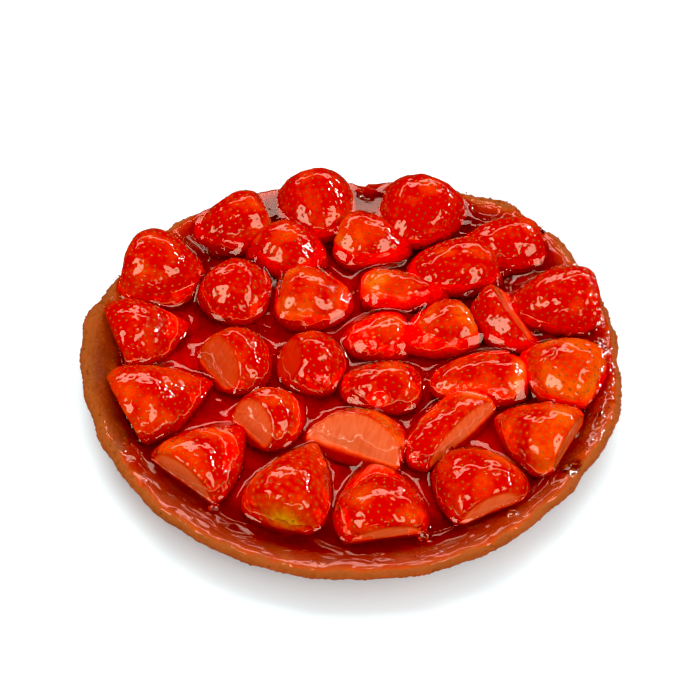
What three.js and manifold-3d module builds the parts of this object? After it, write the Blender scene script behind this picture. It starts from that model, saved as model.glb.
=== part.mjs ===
// A strawberry tart: a shallow flared pastry shell, a pool of set jelly and thirty cut strawberries.
// Millimetres, +Z up. The flat base of the shell lies on z = 0.
import * as THREE from "three";
import { mergeVertices } from "three/addons/utils/BufferGeometryUtils.js";
import Module from "manifold-3d";

const wasm = await Module();
wasm.setup();

// Pastry shell, at its mean section. The share of each ring says how far it follows the ragged edge.
const LIP_RADIUS = 110;
const CREST_RADIUS = 106.5;
const CREST_HEIGHT = 18;
const LIP_HEIGHT = 16.3;
const BASE_RADIUS = 91;
const SHELL_FLOOR = 5;
const SHELL_SECTORS = 90;
const ROOM_SECTORS = 30;
const SHELL_INSIDE = [
  { radius: 0, height: SHELL_FLOOR, share: 0 },
  { radius: 88, height: SHELL_FLOOR, share: 0 },
  { radius: 92.5, height: 7.5, share: 0 },
  { radius: 95.5, height: 10.5, share: 0 },
  { radius: 98.5, height: 13.5, share: 0.3 },
  { radius: 102.5, height: 16.6, share: 0.7 },
  { radius: CREST_RADIUS, height: CREST_HEIGHT, share: 1 },
  { radius: LIP_RADIUS - 0.7, height: CREST_HEIGHT - 0.5, share: 1.1 },
];
const SHELL_OUTSIDE = [
  { radius: LIP_RADIUS, height: LIP_HEIGHT, share: 1.1 },
  { radius: LIP_RADIUS - 3, height: 13, share: 0.8 },
  { radius: 101.5, height: 8.5, share: 0.3 },
  { radius: 96, height: 4.2, share: 0 },
  { radius: BASE_RADIUS + 1.8, height: 1, share: 0 },
  { radius: BASE_RADIUS, height: 0, share: 0 },
  { radius: 0, height: 0, share: 0 },
];

// Where the edge of the shell swells or falls back: direction and spread in degrees, sizes in mm.
const EDGE_SWELLS = [
  { at: 97, spread: 24, out: -6.5, up: -0.8 },
  { at: 52, spread: 9, out: 3.2, up: 1.2 },
  { at: 36, spread: 5, out: 1.6, up: 0.6 },
  { at: 12, spread: 10, out: -0.6, up: 0.4 },
  { at: 358, spread: 5, out: -1.8, up: -0.6 },
  { at: 348, spread: 7, out: 1.4, up: 0.5 },
  { at: 327, spread: 8, out: -0.8, up: -0.5 },
  { at: 285, spread: 16, out: 2.4, up: 0.3 },
  { at: 255, spread: 12, out: 1.5, up: 0 },
  { at: 205, spread: 12, out: -1.4, up: -0.4 },
  { at: 173, spread: 13, out: 2.2, up: 0.5 },
];
// Ragged crumble on top of the swells: waves round the edge, their height and phase.
const EDGE_RIPPLES = [
  { waves: 11, out: 0.35, up: 0.25, phase: 20 },
  { waves: 19, out: 0.35, up: 0.2, phase: 130 },
  { waves: 31, out: 0.3, up: 0.2, phase: 250 },
];
// Splits across the rim, and one broken hollow with a flake of pastry standing in it.
const SPLITS = [
  { at: 41.5, from: 104, to: 118, wide: 3.2, top: 21, bottom: 11.5 },
  { at: 347, from: 101.5, to: 108, wide: 1.6, top: 19.5, bottom: 16.2 },
  { at: 342.5, from: 99, to: 104, wide: 1.6, top: 18.5, bottom: 14.8 },
];
const HOLLOW = { at: 325.5, radius: 102, height: 16.6, half: [4, 5.2, 2.6] };
const FLAKE = { at: 327.5, radius: 104.6, height: 15.9, size: [1.6, 5, 3], roll: 12 };

// Jelly, and the room kept between touching pieces.
const JELLY_LEVEL = 12;
const GAP = 0.3;
const BERRY_GAP = 0.5;
const RIM_GAP = 1.2;
const BERRY_FLOOR = 6.4;
// Where a berry leans out over the rim, it stays above the line from the lip to this ring.
const OVERHANG_RADIUS = 118;
const OVERHANG_HEIGHT = 24;

// Strawberries. A berry swells from its tip as s^point and closes at the hull as (1 - s)^ROUND_HULL.
const ROUND_HULL = 0.28;
const BERRY_SECTORS = 12;
const BERRY_RINGS = 8;
const DEEP_RED = new THREE.Color(0xb80a04);
const PALE_ORANGE = new THREE.Color(0xf0642e);
// at: middle of the widest section. points: heading and pitch of the tip in degrees. half: half width
// and half height. tip, hull: from the middle to the tip and to the cut hull end. pale: 0 red, 1 orange.
// slices: flat cuts, by the direction they face, their tilt up from level and their distance out.
const UNCUT = 60;
const BERRIES = [
  { at: [-16, 92, 14], points: [285, -12], half: [17.5, 18], tip: 24, hull: 15, point: 0.5, pale: 0.35 },
  { at: [-46, 80, 14], points: [197, -11], half: [15, 16], tip: 25, hull: 12, point: 0.65, pale: 0.1 },
  { at: [-85.5, 50, 16], points: [345, -5], half: [19, 18.5], tip: 22, hull: 13.5, point: 0.55, pale: 0.25 },
  { at: [31, 87, 15], points: [240, -8], half: [19, 18], tip: 24, hull: 16, point: 0.5, pale: 0.05 },
  { at: [69, 66, 14], points: [190, -5], half: [14, 14], tip: 25, hull: 14.5, point: 0.5, pale: 0.1 },
  { at: [92, 31, 17], points: [185, -5], half: [16, 16], tip: 26, hull: 12, point: 0.6, pale: 0 },
  { at: [-93, 14, 13], points: [22, -7], half: [17, 16], tip: 28, hull: UNCUT, point: 0.9, pale: 0,
    slices: [[200, -15, 4]] },
  { at: [90, -10, 16], points: [150, -6], half: [17, 14.5], tip: 25, hull: UNCUT, point: 0.65, pale: 0.8,
    slices: [[0, -4, 13]] },
  { at: [-29, 65, 11.5], points: [310, 0], half: [15.5, 15], tip: 20, hull: 13, point: 0.5, pale: 0.2 },
  { at: [4, 70, 12], points: [340, 0], half: [15, 15], tip: 23, hull: 14, point: 0.6, pale: 0.5 },
  { at: [47, 53, 12], points: [195, 0], half: [16, 15], tip: 25, hull: 15.5, point: 0.45, pale: 0.05 },
  { at: [-50, 41, 12], points: [300, 0], half: [15, 16], tip: 18, hull: 12, point: 0.5, pale: 0 },
  { at: [-21, 36, 12], points: [350, -4], half: [15.5, 15], tip: 22, hull: 14, point: 0.6, pale: 0.5 },
  { at: [17, 40, 11], points: [352, 0], half: [11, 12], tip: 24, hull: 17, point: 0.5, pale: 0.7 },
  { at: [64, 26, 13], points: [292, 0], half: [15, 16], tip: 24, hull: 19, point: 0.55, pale: 0,
    slices: [[20, 35, 5]] },
  { at: [-87, -23, 11.5], points: [26, -2], half: [19, 17], tip: 34, hull: UNCUT, point: 0.95, pale: 0.5,
    slices: [[205, -18, 4]] },
  { at: [-49, 3, 12], points: [295, 0], half: [15, 14], tip: 19, hull: 13, point: 0.5, pale: 0.2,
    slices: [[217, 33, 9.2]] },
  { at: [-18, 1, 12], points: [300, 0], half: [14, 14], tip: 18, hull: 13, point: 0.5, pale: 0,
    slices: [[198, 36, 10.4]] },
  { at: [14, 15, 10], points: [190, 0], half: [12, 11], tip: 19, hull: 15, point: 0.55, pale: 0.2 },
  { at: [42, 19, 12], points: [202, 0], half: [14, 13], tip: 24, hull: 10, point: 0.75, pale: 0.6 },
  { at: [15, -13, 11], points: [180, 0], half: [12, 12], tip: 20, hull: 19, point: 0.45, pale: 0 },
  { at: [57, -9, 11], points: [185, 0], half: [13, 12], tip: 26, hull: 18, point: 0.5, pale: 0.4 },
  { at: [-34, -28, 11], points: [290, 0], half: [14.5, 13.5], tip: 17, hull: 14, point: 0.5, pale: 0.4,
    slices: [[222, 33, 9.6]] },
  { at: [4, -42, 12], points: [157, 0], half: [17, 16], tip: 25, hull: 22, point: 0.37, pale: 0.5,
    slices: [[247, 40, 4], [67, 50, 13.6], [109, 42, 15.4], [25, 42, 14.4], [133, 26, 18.6], [1, 26, 16.8]] },
  { at: [42.5, -32.5, 10], points: [225, 0], half: [14, 11], tip: 28, hull: 27, point: 0.45, pale: 0.15,
    slices: [[318, 18, 5.7]] },
  { at: [80, -42, 12], points: [150, 0], half: [17.5, 15], tip: 26, hull: UNCUT, point: 0.75, pale: 0.6,
    slices: [[332, -2, 5.5]] },
  { at: [-63, -56, 10], points: [51, 0], half: [18, 15], tip: 32, hull: UNCUT, point: 0.95, pale: 0.5,
    slices: [[230, 1, 5.7]] },
  { at: [-26, -73, 12], points: [70, 0], half: [17, 16], tip: 33, hull: 16, point: 0.9, pale: 0.1 },
  { at: [11, -80, 11], points: [95, 0], half: [18, 14], tip: 28, hull: UNCUT, point: 0.7, pale: 0.3,
    slices: [[279, -12, 7.6]] },
  { at: [51, -67, 11], points: [130, 0], half: [18, 14], tip: 23, hull: UNCUT, point: 0.5, pale: 0.2,
    slices: [[295, 0, 9.4]] },
];

const FAR = 200;
const rad = THREE.MathUtils.degToRad;

// The direction at an azimuth and an elevation, both in degrees.
function direction(azimuth, elevation) {
  const level = Math.cos(rad(elevation));
  const east = level * Math.cos(rad(azimuth));
  const north = level * Math.sin(rad(azimuth));
  return new THREE.Vector3(east, north, Math.sin(rad(elevation)));
}

// A closed solid from a geometry: shared corners merged, and faces squashed to a line left out.
function toSolid(geometry) {
  geometry.deleteAttribute("normal");
  geometry.deleteAttribute("uv");
  const merged = mergeVertices(geometry, 1e-4);
  const corners = [];
  for (let i = 0; i < merged.index.count; i += 3) {
    const [a, b, c] = [merged.index.getX(i), merged.index.getX(i + 1), merged.index.getX(i + 2)];
    if (a !== b && b !== c && c !== a) {
      corners.push(a, b, c);
    }
  }
  return new wasm.Manifold(new wasm.Mesh({
    numProp: 3,
    vertProperties: Float32Array.from(merged.attributes.position.array),
    triVerts: Uint32Array.from(corners),
  }));
}

// The geometry of a solid's largest connected body. Loose scraps that a cut leaves are dropped.
function toGeometry(solid) {
  const mesh = solid.getMesh();
  const group = Array.from({ length: mesh.vertProperties.length / 3 }, (_, i) => i);
  const root = (i) => {
    while (group[i] !== i) {
      i = group[i] = group[group[i]];
    }
    return i;
  };
  for (let t = 0; t < mesh.triVerts.length; t += 3) {
    group[root(mesh.triVerts[t + 1])] = root(mesh.triVerts[t]);
    group[root(mesh.triVerts[t + 2])] = root(mesh.triVerts[t]);
  }
  const facesOf = new Map();
  for (let t = 0; t < mesh.triVerts.length; t += 3) {
    const key = root(mesh.triVerts[t]);
    facesOf.set(key, [...(facesOf.get(key) ?? []), ...mesh.triVerts.slice(t, t + 3)]);
  }
  const largest = [...facesOf.values()].sort((a, b) => b.length - a.length)[0];
  const geometry = new THREE.BufferGeometry();
  geometry.setAttribute("position", new THREE.BufferAttribute(mesh.vertProperties, 3));
  geometry.setIndex(largest);
  return geometry;
}

// How far the shell's edge stands out and up at an angle in degrees.
function edgeShift(angle) {
  let out = 0;
  let up = 0;
  for (const swell of EDGE_SWELLS) {
    const away = THREE.MathUtils.euclideanModulo(angle - swell.at + 180, 360) - 180;
    const weight = Math.exp(-((away / swell.spread) ** 2));
    out += swell.out * weight;
    up += swell.up * weight;
  }
  for (const ripple of EDGE_RIPPLES) {
    const wave = Math.sin(rad(ripple.waves * angle + ripple.phase));
    out += ripple.out * wave;
    up += ripple.up * wave;
  }
  return { out, up };
}

// A ring-shaped or disc-shaped solid turned round Z, whose rings follow the ragged edge by their share.
// It stands back from its section by the clearance, inwards and upwards.
function turned(section, sectors, clearance) {
  const points = section.map((ring) => new THREE.Vector2(ring.radius, ring.height));
  const lathe = new THREE.LatheGeometry(points, sectors);
  const place = lathe.attributes.position;
  for (let i = 0; i < place.count; i += 1) {
    const ring = section[i % section.length];
    const angle = (360 * Math.floor(i / section.length)) / sectors;
    const shift = edgeShift(angle);
    const radius = Math.max(0, ring.radius + ring.share * shift.out - clearance);
    const height = ring.height + ring.share * shift.up + clearance;
    place.setXYZ(i, radius * Math.cos(rad(angle)), radius * Math.sin(rad(angle)), height);
  }
  return toSolid(lathe);
}

// The half space on the inner side of a plane, as a box large enough to hold any berry.
function halfSpace(centre, normal, distance) {
  const box = new THREE.BoxGeometry(FAR, FAR, FAR);
  box.translate(0, 0, distance - FAR / 2);
  box.applyQuaternion(new THREE.Quaternion().setFromUnitVectors(new THREE.Vector3(0, 0, 1), normal));
  box.translate(...centre);
  return toSolid(box);
}

// A split's cutter: a triangle, wide at the top and sharp at the bottom, drawn out along the radius.
function splitCutter(split) {
  const outline = new THREE.Shape();
  outline.moveTo(-split.wide / 2, split.top);
  outline.lineTo(0, split.bottom);
  outline.lineTo(split.wide / 2, split.top);
  outline.closePath();
  const depth = split.to - split.from;
  const wedge = new THREE.ExtrudeGeometry(outline, { depth, bevelEnabled: false });
  wedge.rotateX(Math.PI / 2);
  wedge.rotateZ(Math.PI / 2);
  wedge.translate(split.from, 0, 0);
  wedge.rotateZ(rad(split.at));
  return toSolid(wedge);
}

function pastryShell() {
  let shell = turned([...SHELL_INSIDE, ...SHELL_OUTSIDE].reverse(), SHELL_SECTORS, 0);
  for (const split of SPLITS) {
    shell = shell.subtract(splitCutter(split));
  }
  const scoop = new THREE.SphereGeometry(1, 10, 7);
  scoop.scale(...HOLLOW.half);
  scoop.translate(HOLLOW.radius, 0, HOLLOW.height);
  scoop.rotateZ(rad(HOLLOW.at));
  const flake = new THREE.BoxGeometry(...FLAKE.size);
  flake.rotateX(rad(FLAKE.roll));
  flake.translate(FLAKE.radius, 0, FLAKE.height);
  flake.rotateZ(rad(FLAKE.at));
  return shell.subtract(toSolid(scoop)).add(toSolid(flake));
}

// The room over the shell: everything above its inside and rim, less the clearance.
function roomOverShell(sectors, clearance) {
  const above = [
    { radius: OVERHANG_RADIUS, height: OVERHANG_HEIGHT, share: 0 },
    { radius: OVERHANG_RADIUS, height: FAR, share: 0 },
    { radius: 0, height: FAR, share: 0 },
  ];
  return turned([...SHELL_INSIDE, ...above], sectors, clearance);
}

// A whole berry, turned round the line from hull to tip, with its cuts, and larger by grow all round.
function wholeBerry(berry, grow) {
  const widest = berry.point / (berry.point + ROUND_HULL);
  const peak = widest ** berry.point * (1 - widest) ** ROUND_HULL;
  const length = (berry.tip + grow) / widest;
  const section = [];
  for (let i = 0; i <= BERRY_RINGS; i += 1) {
    const s = (1 - Math.cos((Math.PI * i) / BERRY_RINGS)) / 2;
    const radius = (s ** berry.point * (1 - s) ** ROUND_HULL) / peak;
    section.push(new THREE.Vector2(radius, berry.tip + grow - s * length));
  }
  const body = new THREE.LatheGeometry(section.reverse(), BERRY_SECTORS, Math.PI / BERRY_SECTORS);
  const [halfWidth, halfHeight] = berry.half;
  body.scale(halfWidth + grow, 1, halfHeight + grow);
  const tip = direction(...berry.points);
  const side = new THREE.Vector3(0, 0, 1).cross(tip).normalize();
  const under = side.clone().cross(tip);
  body.applyMatrix4(new THREE.Matrix4().makeBasis(side, tip, under));
  body.translate(...berry.at);
  let solid = toSolid(body);
  solid = solid.intersect(halfSpace(berry.at, tip.clone().negate(), berry.hull + grow));
  for (const [azimuth, tilt, distance] of berry.slices ?? []) {
    solid = solid.intersect(halfSpace(berry.at, direction(azimuth, tilt), distance + grow));
  }
  const depth = berry.at[2] - BERRY_FLOOR + grow;
  return solid.intersect(halfSpace(berry.at, new THREE.Vector3(0, 0, -1), depth));
}

// A named piece with its own plain finish.
function named(name, geometry, color, roughness) {
  const material = new THREE.MeshStandardMaterial({ color, roughness, metalness: 0 });
  const mesh = new THREE.Mesh(geometry, material);
  mesh.name = name;
  return mesh;
}

// The shell, then the berries from the front to the back, then the jelly cut round them all.
function buildTart() {
  const tart = new THREE.Group();
  tart.add(named("crust", toGeometry(pastryShell()), 0xb0601f, 0.75));
  const room = roomOverShell(ROOM_SECTORS, RIM_GAP);
  const level = halfSpace([0, 0, 0], new THREE.Vector3(0, 0, 1), JELLY_LEVEL);
  let jelly = roomOverShell(SHELL_SECTORS, GAP).intersect(level);
  const number = new Map(BERRIES.map((berry, i) => [berry, i + 1]));
  // A berry gives way where one nearer the front presses on it.
  const fromFront = [...BERRIES].sort((a, b) => a.at[1] - b.at[1]);
  const placed = [];
  for (const berry of fromFront) {
    let solid = wholeBerry(berry, 0).intersect(room);
    for (const other of placed) {
      solid = solid.subtract(other);
    }
    const padded = wholeBerry(berry, BERRY_GAP);
    placed.push(padded);
    jelly = jelly.subtract(padded);
    const name = `strawberry_${String(number.get(berry)).padStart(2, "0")}`;
    const color = DEEP_RED.clone().lerp(PALE_ORANGE, berry.pale);
    tart.add(named(name, toGeometry(solid), color, 0.3));
  }
  tart.add(named("jelly", toGeometry(jelly), 0xa00400, 0.1));
  return tart;
}

const tart = buildTart();
const extent = new THREE.Box3().setFromObject(tart);
const centre = extent.getCenter(new THREE.Vector3());
tart.position.set(-centre.x, -centre.y, -extent.min.z);

export default tart;
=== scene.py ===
"""A round strawberry tart: a low pastry shell, thirty cut strawberries and the red jelly they are set in.

All sizes are millimetres round the middle of the pastry shell until a mesh is made.
"""

import logging
import math
from dataclasses import dataclass, field
from enum import Enum
from typing import Any

import bpy
import numpy as np
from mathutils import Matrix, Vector


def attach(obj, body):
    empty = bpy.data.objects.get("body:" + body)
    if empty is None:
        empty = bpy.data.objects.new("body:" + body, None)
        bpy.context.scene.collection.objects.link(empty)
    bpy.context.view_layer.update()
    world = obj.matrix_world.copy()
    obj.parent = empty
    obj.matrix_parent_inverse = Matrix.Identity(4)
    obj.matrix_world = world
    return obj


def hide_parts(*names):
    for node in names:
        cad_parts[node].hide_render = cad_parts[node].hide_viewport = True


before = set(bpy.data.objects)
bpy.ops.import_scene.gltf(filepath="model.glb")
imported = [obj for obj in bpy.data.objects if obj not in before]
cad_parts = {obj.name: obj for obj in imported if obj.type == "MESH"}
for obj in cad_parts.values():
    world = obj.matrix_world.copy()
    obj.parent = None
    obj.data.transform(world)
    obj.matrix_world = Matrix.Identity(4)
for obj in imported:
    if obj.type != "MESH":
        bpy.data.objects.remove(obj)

LOG = logging.getLogger("strawberry_tart")
MM = 0.001
SEED = 20241
FOOT_TOP = 0.1
Array = np.ndarray


# ---------------------------------------------------------------- mesh tools


def shell_middle() -> Array:
    """The middle of the flat ring that the pastry stands on, in millimetres.

    Returns:
        x, y and 0.
    """
    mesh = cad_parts["crust"].data
    points = np.empty(len(mesh.vertices) * 3, np.float32)
    mesh.vertices.foreach_get("co", points)
    points = points.reshape(-1, 3) / MM
    foot = points[points[:, 2] < FOOT_TOP]
    middle = (foot.min(0) + foot.max(0)) / 2
    return np.array([middle[0], middle[1], 0.0])


MIDDLE = shell_middle()


def make_piece(
    name: str, points: Array, faces: Array, marks: dict[str, Array] | None = None
) -> bpy.types.Object:
    """Puts arrays into a smooth mesh object that sits at the origin.

    Args:
        name: the piece's name.
        points: n x 3 places in millimetres round the shell's middle.
        faces: m x 3 corner numbers.
        marks: two or three numbers a point, each set kept as a colour attribute of that name.

    Returns:
        The new object, linked to the scene.
    """
    mesh = bpy.data.meshes.new(name)
    mesh.vertices.add(len(points))
    mesh.vertices.foreach_set("co", ((points + MIDDLE) * MM).astype(np.float32).ravel())
    mesh.loops.add(faces.size)
    mesh.loops.foreach_set("vertex_index", faces.astype(np.int32).ravel())
    mesh.polygons.add(len(faces))
    mesh.polygons.foreach_set("loop_start", np.arange(0, faces.size, 3, dtype=np.int32))
    mesh.polygons.foreach_set("use_smooth", np.ones(len(faces), bool))
    for key, values in (marks or {}).items():
        layer = mesh.attributes.new(key, "FLOAT_COLOR", "POINT")
        rgba = np.ones((len(points), 4), np.float32)
        rgba[:, : values.shape[1]] = values
        layer.data.foreach_set("color", rgba.ravel())
    mesh.update(calc_edges=True)
    mesh.validate()
    piece = bpy.data.objects.new(name, mesh)
    bpy.context.scene.collection.objects.link(piece)
    return piece


def grid_faces(rows: int, columns: int, closed: bool) -> Array:
    """Triangles over a grid of points stored row by row.

    Args:
        rows: number of rows.
        columns: points in a row.
        closed: whether the last column joins the first.

    Returns:
        m x 3 corner numbers.
    """
    last = columns if closed else columns - 1
    row, column = np.meshgrid(np.arange(rows - 1), np.arange(last), indexing="ij")
    after = (column + 1) % columns
    a = row * columns + column
    b = row * columns + after
    c = (row + 1) * columns + after
    d = (row + 1) * columns + column
    first = np.stack([a, b, c], -1).reshape(-1, 3)
    second = np.stack([a, c, d], -1).reshape(-1, 3)
    return np.concatenate([first, second])


def fan_faces(tip: int, ring: Array, flip: bool) -> Array:
    """Triangles from one point to a closed ring.

    Args:
        tip: number of the point.
        ring: numbers of the ring's points in order.
        flip: whether the turning is reversed.

    Returns:
        m x 3 corner numbers.
    """
    after = np.roll(ring, -1)
    tips = np.full(len(ring), tip)
    return np.stack([tips, after, ring] if flip else [tips, ring, after], -1)


def ball_angles(rows: int, columns: int) -> tuple[Array, Array]:
    """Angles of a ball's grid without its two ends.

    Args:
        rows: rings from end to end.
        columns: points in a ring.

    Returns:
        Each point's angle from the first end and its angle round, ring by ring.
    """
    theta = np.linspace(0, math.pi, rows + 2)[1:-1]
    phi = np.linspace(0, 2 * math.pi, columns, endpoint=False)
    theta, phi = np.meshgrid(theta, phi, indexing="ij")
    return theta.ravel(), phi.ravel()


def copies(faces: Array, count: int, points: int) -> Array:
    """The faces of a shape repeated for count copies that have so many points each."""
    numbers = faces[None] + (np.arange(count) * points)[:, None, None]
    return numbers.reshape(-1, 3)


def laid(base: Array, size: Array, shape: Array, axes: tuple[Array, Array, Array]) -> Array:
    """A shape's points, stretched and turned for each copy: base + sum of size_i shape_i axis_i.

    Args:
        base: n x 3 places of the copies.
        size: n x 3 stretches, or n x 1 for an even one.
        shape: k x 3 points, or n x k x 3 where the copies differ.
        axes: three arrays of n x 3 directions.

    Returns:
        n x k x 3 places.
    """
    stretched = size[:, None] * shape
    moved = sum(stretched[..., k, None] * axis[:, None] for k, axis in enumerate(axes))
    return base[:, None] + moved


def unit(vectors: Array) -> Array:
    """Rows brought to length 1."""
    return vectors / np.linalg.norm(vectors, axis=1, keepdims=True)


def soft_highest(heights: tuple[Array, ...], width: float, about: float = 12.0) -> Array:
    """The highest of some heights, joined in fillets: w log of the sum of exp(z / w).

    Args:
        heights: the surfaces' heights.
        width: w, the size of the fillets.
        about: a height near them all, which keeps the exponentials small.

    Returns:
        Heights.
    """
    return about + width * np.log(sum(np.exp(np.clip(z - about, -9, 9) / width) for z in heights))


def waves(points: Array, wavelength: tuple[float, float], count: int, seed: int) -> Array:
    """Smooth noise: a sum of cosine waves with drawn directions and phases.

    The value at p is the sum over k of cos(2 pi d_k . p / w_k + phase_k), divided so that
    its usual size is 1.

    Args:
        points: n x 3 (or n x 2) places.
        wavelength: shortest and longest wave.
        count: number of waves.
        seed: seed of the draw.

    Returns:
        n values.
    """
    draw = np.random.default_rng(seed)
    way = unit(draw.normal(size=(count, points.shape[-1])))
    low, high = wavelength
    length = low * (high / low) ** draw.random(count)
    phase = draw.random(count) * 2 * math.pi
    total = np.zeros(points.shape[:-1])
    for k in range(count):
        total += np.cos(points @ (way[k] * 2 * math.pi / length[k]) + phase[k])
    return total * math.sqrt(2 / count)


def smoothstep(low: float, high: float, value: Array) -> Array:
    """0 below low, 1 above high, and a smooth S between."""
    t = np.clip((value - low) / (high - low), 0, 1)
    return t * t * (3 - 2 * t)


def heading_way(around: float, tilt: float) -> Array:
    """The unit direction that points around degrees from +X and tilt degrees up."""
    a, t = math.radians(around), math.radians(tilt)
    return np.array([math.cos(a) * math.cos(t), math.sin(a) * math.cos(t), math.sin(t)])


def turned(delta: Array) -> Array:
    """An angle difference in degrees, brought to -180 .. 180."""
    return (delta + 180.0) % 360.0 - 180.0


def corner_cut(points: Array, times: int) -> Array:
    """Rounds an open polyline: each pass replaces a corner by points at 1/4 and 3/4 of its sides."""
    for _ in range(times):
        near = 0.75 * points[:-1] + 0.25 * points[1:]
        far = 0.25 * points[:-1] + 0.75 * points[1:]
        inner = np.stack([near, far], 1).reshape(-1, points.shape[1])
        points = np.concatenate([points[:1], inner, points[-1:]])
    return points


# ---------------------------------------------------------------- pastry


@dataclass
class PastryShell:
    """The low baked shell with its flared, ragged lip.

    A row of inside or outside is a ring's radius, height and share of the edge's swells. A
    swell is its angle, spread, millimetres out and millimetres up; a ripple is its count,
    millimetres out, millimetres up and phase. A split is its angle, inner and outer radius,
    width and lowest height. The hollow is its angle, radius, two half widths and depth.
    """

    inside: tuple = (
        (0, 5, 0), (60, 5, 0), (88, 5, 0), (92.5, 7.5, 0), (95.5, 10.5, 0),
        (98.5, 13.5, 0.3), (102.5, 16.6, 0.7), (106.5, 18, 1), (109.3, 17.5, 1.1),
    )
    outside: tuple = (
        (110, 16.3, 1.1), (107, 13, 0.8), (101.5, 8.5, 0.3), (96, 4.2, 0),
        (92.8, 1, 0), (91, 0, 0), (60, 0, 0), (0, 0, 0),
    )
    swells: tuple = (
        (97, 24, -6.5, -0.8), (52, 9, 3.2, 1.2), (36, 5, 1.6, 0.6), (12, 10, -0.6, 0.4),
        (358, 5, -1.8, -0.6), (348, 7, 1.4, 0.5), (327, 8, -0.8, -0.5), (285, 16, 2.4, 0.3),
        (255, 12, 1.5, 0), (205, 12, -1.4, -0.4), (173, 13, 2.2, 0.5),
    )
    ripples: tuple = ((11, 0.35, 0.25, 20), (19, 0.35, 0.2, 130), (31, 0.3, 0.2, 250))
    splits: tuple = (
        (41.5, 104, 118, 3.2, 11.5), (347, 101.5, 108, 1.6, 16.2), (342.5, 99, 104, 1.6, 14.8),
    )
    hollow: tuple = (326.4, 102.4, 4, 4.6, 3.2)
    sectors: int = 760
    finest: float = 0.36
    split_radius: float = 108.0

    def edge(self, angle: Array) -> tuple[Array, Array]:
        """How far the edge goes out and up.

        Each swell adds out and up times exp(-((angle - at) / spread)^2), and each ripple
        adds them times sin(waves x angle + phase).

        Args:
            angle: degrees.

        Returns:
            Millimetres out and millimetres up.
        """
        out = np.zeros_like(angle)
        up = np.zeros_like(angle)
        for at, spread, far, high in self.swells:
            weight = np.exp(-((turned(angle - at) / spread) ** 2))
            out += far * weight
            up += high * weight
        for count, far, high, phase in self.ripples:
            turn = np.sin(np.radians(count * angle + phase))
            out += far * turn
            up += high * turn
        return out, up

    def rings(self, cuts: int = 3) -> tuple[Array, Array]:
        """The rounded profile inside and outside, each row radius, height and share."""
        both = np.array(self.inside + self.outside, float)
        smooth = corner_cut(both, cuts)
        top = int(np.argmax(smooth[:, 1]))
        return smooth[: top + 1], smooth[top:]

    def top(self, x: Array, y: Array) -> Array:
        """Height of the shell's smooth upper face.

        The profile's rings are moved by the edge's out and up at the point's angle, and the
        height is read between the two rings on either side of the point's radius.

        Args:
            x: places.
            y: places.

        Returns:
            Heights; past the lip the height of the lip.
        """
        radius = np.hypot(x, y)
        out, up = self.edge(np.degrees(np.arctan2(y, x)))
        inner, _ = self.rings(2)
        height = np.full_like(radius, inner[0, 1])
        for near, far in zip(inner[:-1], inner[1:]):
            start = near[0] + near[2] * out
            end = far[0] + far[2] * out
            low = near[1] + near[2] * up
            high = far[1] + far[2] * up
            part = np.clip((radius - start) / np.maximum(end - start, 1e-6), 0, 1)
            height = np.where(radius >= start, low + (high - low) * part, height)
        return height

    def bowl(self, x: Array, y: Array) -> Array:
        """1 in the middle of the broken hollow, falling to 0 at its jagged edge and below 0 beyond."""
        at, far, half_r, half_t, _deep = self.hollow
        way = math.radians(at)
        along = (x * math.cos(way) + y * math.sin(way) - far) / half_r
        across = (y * math.cos(way) - x * math.sin(way)) / half_t
        jag = 1 + 0.2 * waves(np.stack([x, y], -1), (2, 5), 20, SEED + 5)
        return 1 - (along**2 + across**2) * jag

    def glazed(self, angle: Array) -> Array:
        """How much glaze the rim carries at an angle: 1 in front and at the right, 0 at the left."""
        dry = np.exp(-((turned(angle - 182) / 26) ** 4))
        back = 0.35 * np.exp(-((turned(angle - 100) / 50) ** 4))
        return np.clip(1 - dry - back, 0, 1)

    def shore(self, angle: Array) -> Array:
        """How far out the glaze reaches, before the edge's swells; less at the back right."""
        return 105.9 - 2.8 * np.exp(-((turned(angle - 42) / 30) ** 4))

    def steps_along(self, reach: float, last: float, close: float, wide: float) -> Array:
        """Distances from the lip along the profile, whose steps grow by a ratio.

        Args:
            reach: how far they go.
            last: distance up to which the steps grow slowly.
            close: ratio of growth up to there.
            wide: ratio past there.

        Returns:
            Distances from 0 to reach.
        """
        spots = [0.0]
        step = self.finest
        while spots[-1] < reach - step:
            spots.append(spots[-1] + step)
            step *= close if spots[-1] < last else wide
        return np.array(spots[:-1] + [reach])

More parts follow.
